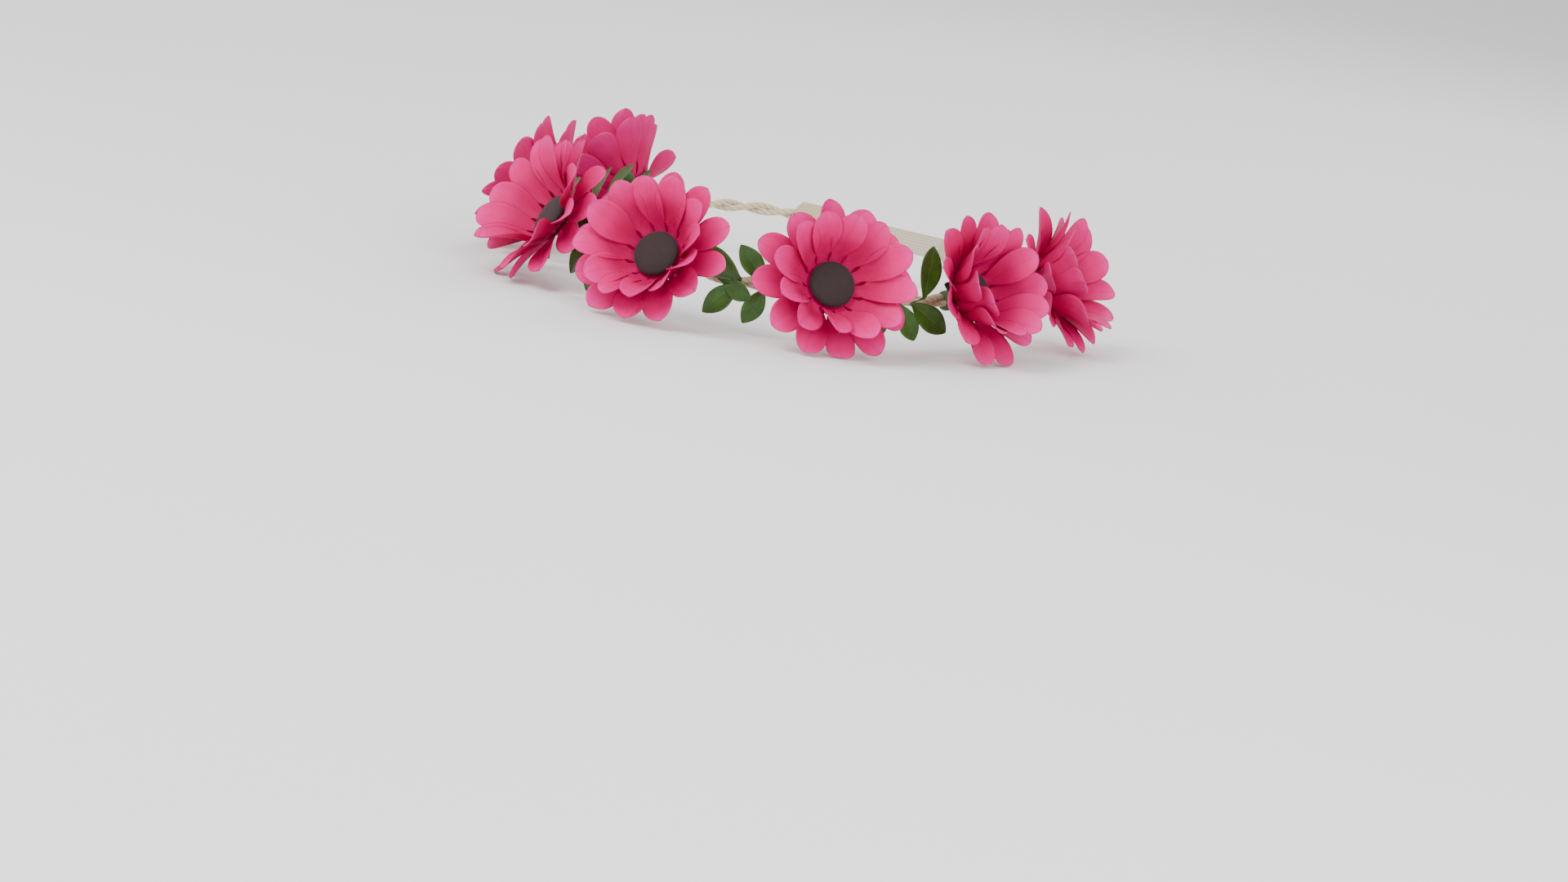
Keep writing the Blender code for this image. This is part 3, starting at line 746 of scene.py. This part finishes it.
def build_leaves():
    """Three sprigs in each gap, where the CAD has them: lettered a to c away from the front."""
    rng = np.random.default_rng(LEAF_SEED)
    for gap, sprigs in SPRIGS.items():
        middle = GAPS[gap - 1] * FLOWER_PITCH
        letters = "abc" if middle > 0 else "cba"
        for letter, step, shape in zip(letters, (-1, 0, 1), sprigs):
            mesh = sprig_mesh(*shape, rng)
            piece(f"leaves_{gap}{letter}", mesh, [leaf_top, leaf_under], "crown_band",
                  [f"leaf_sprig_{gap}{letter}"], ring_frame(middle + step * SPRIG_STEP), LEAF_T)


def build_elastic():
    """The flat elastic: ribs along it, and the weft's ridges across them."""
    length, width = band_high.x - band_low.x, band_high.z - band_low.z
    x = np.arange(0, length, BAND_STEP)
    a = np.linspace(0, 2 * math.pi, BAND_SIDES, endpoint=False)
    flat = np.sign(np.sin(a)) * np.abs(np.sin(a)) ** FLATNESS
    z = width / 2 * np.sign(np.cos(a)) * np.abs(np.cos(a)) ** EDGE_ROUND
    ribs = 1 - RIB_SHARE + RIB_SHARE * np.abs(np.cos(math.pi * z / RIB))
    weft = WEFT_LOW + WEFT_SHARE * np.abs(np.cos(math.pi * x / WEFT))
    y = BAND_T / 2 * flat[None] * ribs[None] * weft[:, None]
    points = np.stack([x[:, None] - length / 2 + 0 * a, -y, z[None] + 0 * y], axis=-1)
    mesh = grid_mesh("elastic", points, closed=True, ends=True, flip=True)
    piece("ribbed_elastic", mesh, [elastic_yarn], "crown_band", ["elastic_band"],
          Matrix.Translation((band_low + band_high) / 2))


def build_bindings():
    """The thread wound round each end of the elastic and of the cord."""
    x = np.linspace(-0.5, 0.5, WRAP_ROWS)
    a = np.linspace(0, 2 * math.pi, BAND_SIDES, endpoint=False)
    turns = x[:, None] * WRAP_TURNS + a[None] / (2 * math.pi)
    wound = np.abs(np.cos(math.pi * turns)) ** 0.6
    taper = 1 - WRAP_TAPER * smooth((np.abs(x) - WRAP_TAPER_FROM) / (0.5 - WRAP_TAPER_FROM))
    size = taper[:, None] * (1 - WRAP_GROOVE * (1 - wound))
    for side in ("left", "right"):
        low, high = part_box(f"end_wrap_{side}")
        half = (high - low) / 2
        points = np.stack([x[:, None] * (high.x - low.x) + 0 * a, -half.y * size * np.sin(a),
                           half.z * size * np.cos(a)], axis=-1)
        mesh = grid_mesh("binding", points, closed=True, ends=True, flip=True)
        piece(f"thread_binding_{side}", mesh, [wrap_yarn], "crown_band",
              [f"end_wrap_{side}"], Matrix.Translation((low + high) / 2))


# ---- stage -----------------------------------------------------------------------------------

def build_stage():
    """A pale floor that curves up far behind on every side, and soft lights."""
    outline = [(0.001, 0.0), (FLOOR_R, 0.0)]
    outline += [(FLOOR_R + WALL_R * math.sin(t), WALL_R * (1 - math.cos(t)))
                for t in np.radians(np.linspace(5, 85, 17))]
    mesh = grid_mesh("floor", turned_points(outline, FLOOR_SIDES), closed=True)
    mesh.materials.append(floor_material())
    added("floor", mesh)

    world = bpy.data.worlds.new("world")
    world.use_nodes = True
    background = world.node_tree.nodes["Background"]
    background.inputs["Color"].default_value = (1.0, 1.0, 1.0, 1.0)
    background.inputs["Strength"].default_value = SKY
    bpy.context.scene.world = world
    for name, (where, size, power) in LIGHTS.items():
        light = bpy.data.lights.new(name, "AREA")
        light.size, light.energy = size, power
        ob = added(name, light)
        ob.location = where
        ob.rotation_euler = (LIGHT_AIM - Vector(where)).to_track_quat("-Z", "Y").to_euler()


def build_camera():
    """The camera, looking at the ring from its right front, rolled and aimed a little off it."""
    a, e = math.radians(CAM_AZIMUTH), math.radians(CAM_ELEVATION)
    back = Vector((math.sin(a) * math.cos(e), -math.cos(a) * math.cos(e), math.sin(e)))
    right = UP.cross(back).normalized()
    level = Matrix((right, back.cross(right), back)).transposed()
    roll = Matrix.Rotation(math.radians(CAM_ROLL), 3, "Z")
    off = Vector((AIM[0], AIM[1], -1)).rotation_difference(Vector((0, 0, -1))).to_matrix()
    camera = bpy.data.cameras.new("camera")
    camera.lens, camera.sensor_width = LENS, SENSOR
    ob = added("camera", camera)
    middle = Vector((0, ring_shift, ring_lift))
    look = (level @ roll @ off).to_4x4()
    ob.matrix_world = Matrix.Translation(middle + back * CAM_DISTANCE) @ look
    bpy.context.scene.camera = ob


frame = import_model()

back_mount = frame["record"]["mounts"][0]["pos_m"]
path, path_length = half_path()
end_s = float(path_length[-1])
ring_lift = back_mount[2]
ring_shift = back_mount[1] - BAND_T / 2 - path[-1][1]

petal_front = petal_material("petal_face", PETAL_FACE, 0.50)
petal_back = petal_material("petal_reverse", PETAL_REVERSE, 0.60)
button_cloth = button_material()
calyx_green = plastic_material("calyx", CALYX_GREENS, 0.5)
tape_green = plastic_material("tape", TAPE_GREENS, 0.6)
leaf_top = leaf_material("leaf_face", LEAF_FACE, 0.38)
leaf_under = leaf_material("leaf_reverse", LEAF_REVERSE, 0.56)
plies = 2 * PLIES * end_s / PLY_PITCH
cord_yarn = yarn_material("cord", CORD_CREAMS, CORD_LINES, 0.78, (plies, PLIES, -plies / 2))
wrap_yarn = yarn_material("binding", WRAP_CREAMS, WRAP_LINES, 0.74, (WRAP_TURNS, 1, -WRAP_TURNS / 2))
band_low, band_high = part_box("elastic_band")
elastic_yarn = yarn_material("elastic", ELASTIC_CREAMS, ELASTIC_LINES, 0.76,
                             ((band_high.x - band_low.x) / WEFT, 0, 0),
                             ribs=(band_high.z - band_low.z) / 2 / RIB)

build_camera()
for number, joint in enumerate(frame["joints"], start=-FLOWERS_A_SIDE):
    build_flower(joint, number)
build_cord()
build_leaves()
build_elastic()
build_bindings()
build_stage()
